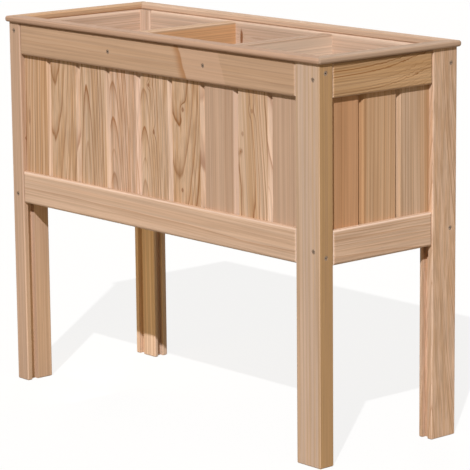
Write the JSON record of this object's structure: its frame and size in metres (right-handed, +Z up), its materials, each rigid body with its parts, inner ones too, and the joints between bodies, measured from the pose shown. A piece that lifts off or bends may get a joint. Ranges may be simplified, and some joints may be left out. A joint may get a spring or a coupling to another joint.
{
  "type": "raised garden bed",
  "caption": "Oblong wooden planter box on tall legs, with boarded walls between rails, a mitred rim, cross braces that part the top into bays, and a slatted floor.",
  "frame": {"origin": "on the ground, under the middle of the bed", "axes": "+X along the front from left to right, +Y from the front to the back, +Z up"},
  "size_m": [1.035, 0.405, 0.839],
  "materials": {
    "larch_legs": "planed, oiled, satin",
    "larch_rails": "planed, oiled, satin",
    "larch_boards": "planed, oiled, satin",
    "larch_rim": "planed, oiled, satin",
    "larch_braces": "planed, oiled, satin",
    "larch_floor": "planed, oiled, satin",
    "beech_dowel": "planed, oiled, satin",
    "zinc_steel": "zinc plated, dulled"
  },
  "bodies": {
    "root": {"bearer_screws": "zinc_steel", "brace_screws": "zinc_steel", "floor_slat_1": "larch_floor", "floor_slat_2": "larch_floor", "floor_slat_3": "larch_floor", "floor_slat_4": "larch_floor", "floor_slat_5": "larch_floor", "floor_slat_6": "larch_floor", "floor_slat_7": "larch_floor", "floor_slat_8": "larch_floor", "floor_slat_9": "larch_floor", "front_board_1": "larch_boards", "front_board_2": "larch_boards", "front_board_3": "larch_boards", "front_board_4": "larch_boards", "front_board_5": "larch_boards", "front_board_6": "larch_boards", "front_board_7": "larch_boards", "front_board_8": "larch_boards", "front_board_9": "larch_boards", "front_bottom_rail": "larch_rails", "front_floor_bearer": "larch_floor", "front_rim_board": "larch_rim", "front_top_rail": "larch_rails", "left_board_1": "larch_boards", "left_board_2": "larch_boards", "left_board_3": "larch_boards", "left_bottom_rail": "larch_rails", "left_cross_brace": "larch_braces", "left_rim_board": "larch_rim", "left_top_rail": "larch_rails", "leg_front_left": "larch_legs", "leg_front_right": "larch_legs", "leg_rear_left": "larch_legs", "leg_rear_right": "larch_legs", "leg_screws": "zinc_steel", "rear_board_1": "larch_boards", "rear_board_2": "larch_boards", "rear_board_3": "larch_boards", "rear_board_4": "larch_boards", "rear_board_5": "larch_boards", "rear_board_6": "larch_boards", "rear_board_7": "larch_boards", "rear_board_8": "larch_boards", "rear_board_9": "larch_boards", "rear_bottom_rail": "larch_rails", "rear_floor_bearer": "larch_floor", "rear_rim_board": "larch_rim", "rear_top_rail": "larch_rails", "right_board_1": "larch_boards", "right_board_2": "larch_boards", "right_board_3": "larch_boards", "right_bottom_rail": "larch_rails", "right_cross_brace": "larch_braces", "right_rim_board": "larch_rim", "right_top_rail": "larch_rails", "rim_dowels": "beech_dowel"}
  },
  "joints": []
}
